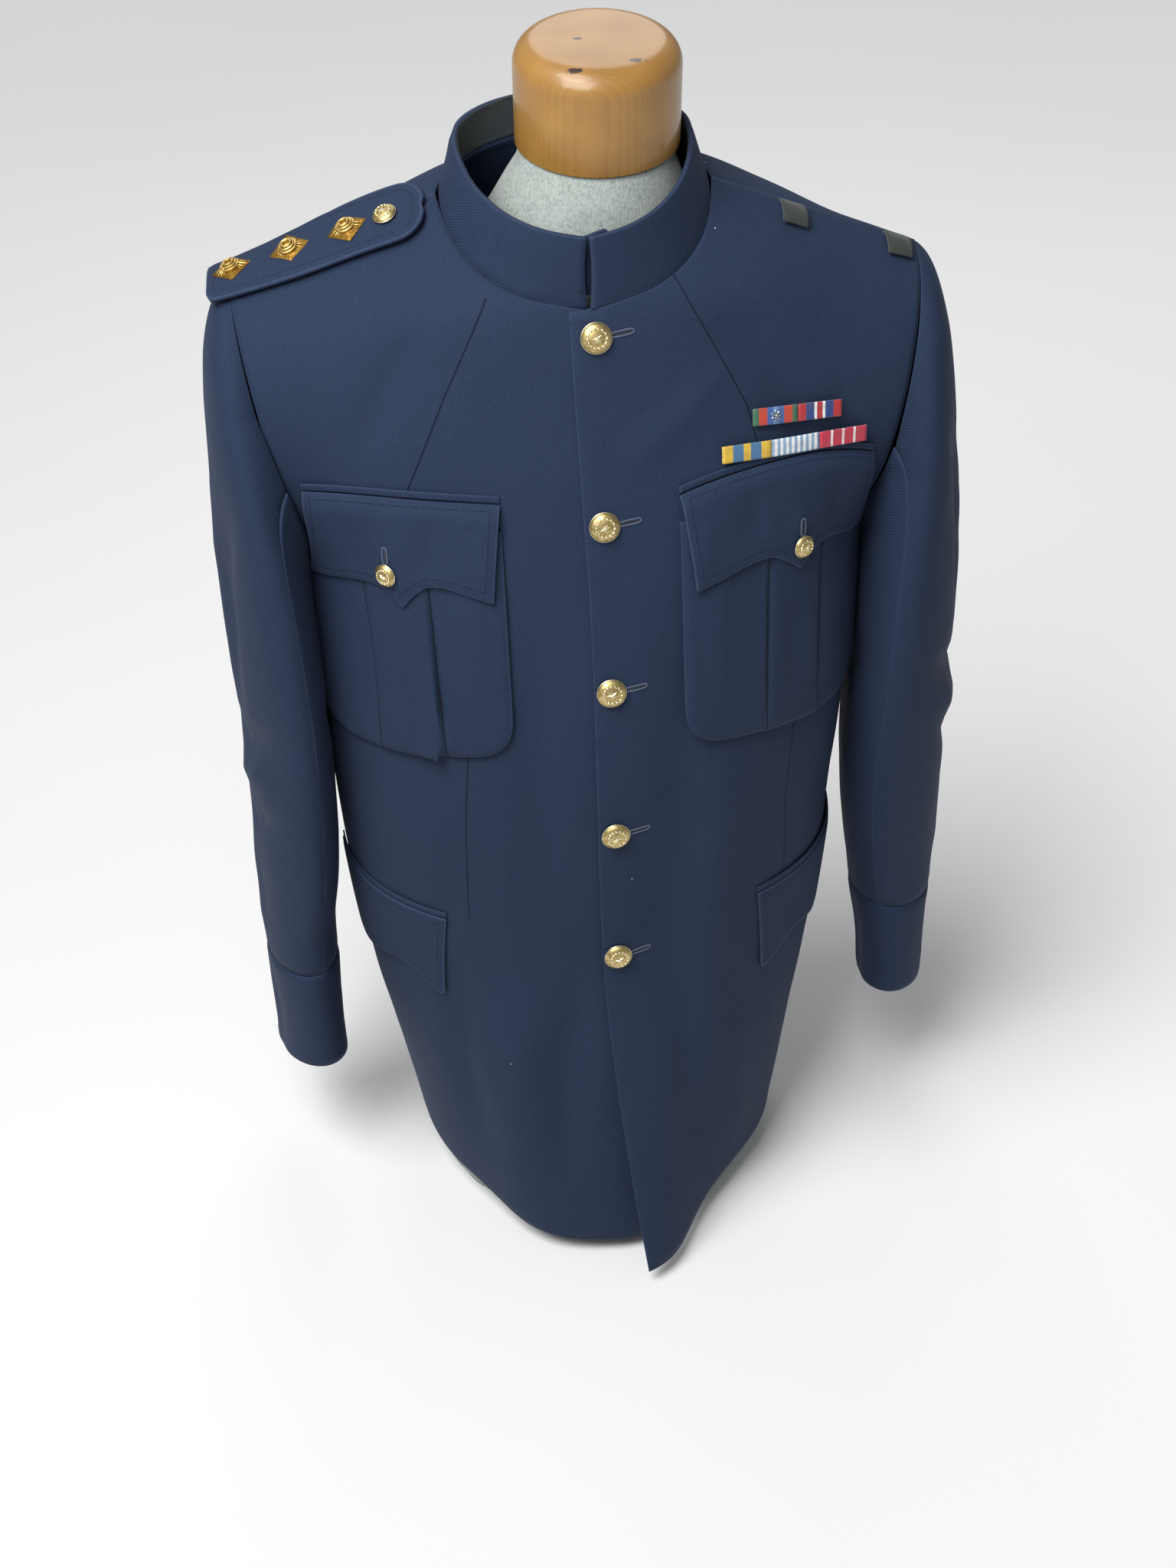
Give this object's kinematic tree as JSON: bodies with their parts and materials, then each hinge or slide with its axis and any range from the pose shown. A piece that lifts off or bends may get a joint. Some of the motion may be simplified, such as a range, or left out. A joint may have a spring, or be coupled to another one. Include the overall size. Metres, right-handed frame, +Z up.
{
  "type": "military dress tunic on a limbless dress form",
  "caption": "Navy stand-collar military dress tunic with gilt buttons, pleated breast pockets, medal ribbons and one shoulder strap, standing on a limbless dress form with a wooden neck cap.",
  "frame": {"origin": "on the surface that the form stands on, under the tunic's centre line", "axes": "+Z up, the tunic's front faces -Y, the wearer's left is +X"},
  "size_m": [0.5356, 0.3409, 0.8846],
  "materials": {
    "gabardine": "navy wool gabardine, fine twill, soft nap",
    "collar_lining": "dark green-grey cotton lining",
    "tape": "ribbed black-green tape",
    "ribbon_silk": "woven ribbon with stripes",
    "gilding_metal": "stamped and polished, slightly worn",
    "white_metal": "small cast device, satin",
    "jersey": "grey heathered cotton jersey over the form",
    "varnished_pine": "turned pine with glossy honey varnish, worn and chipped"
  },
  "bodies": {
    "root": {"back_left": "gabardine", "back_right": "gabardine", "breast_flap_left": "gabardine", "breast_flap_right": "gabardine", "breast_pocket_left": "gabardine", "breast_pocket_right": "gabardine", "breast_welt_left": "gabardine", "breast_welt_right": "gabardine", "collar": "gabardine", "collar_lining": "collar_lining", "collar_tongue": "gabardine", "cuff_left": "gabardine", "cuff_right": "gabardine", "form_body": "jersey", "front_button_1": "gilding_metal", "front_button_2": "gilding_metal", "front_button_3": "gilding_metal", "front_button_4": "gilding_metal", "front_button_5": "gilding_metal", "hip_flap_left": "gabardine", "hip_flap_right": "gabardine", "hip_welt_left": "gabardine", "hip_welt_right": "gabardine", "left_front": "gabardine", "neck_cap": "varnished_pine", "pocket_button_left": "gilding_metal", "pocket_button_right": "gilding_metal", "rank_pip_1": "gilding_metal", "rank_pip_2": "gilding_metal", "rank_pip_3": "gilding_metal", "ribbon_lower_1": "ribbon_silk", "ribbon_lower_2": "ribbon_silk", "ribbon_lower_3": "ribbon_silk", "ribbon_sprig": "white_metal", "ribbon_upper_1": "ribbon_silk", "ribbon_upper_2": "ribbon_silk", "right_front": "gabardine", "shoulder_strap": "gabardine", "strap_button": "gilding_metal", "strap_loop_inner": "tape", "strap_loop_outer": "tape", "top_sleeve_left": "gabardine", "top_sleeve_right": "gabardine", "under_sleeve_left": "gabardine", "under_sleeve_right": "gabardine"}
  },
  "joints": []
}
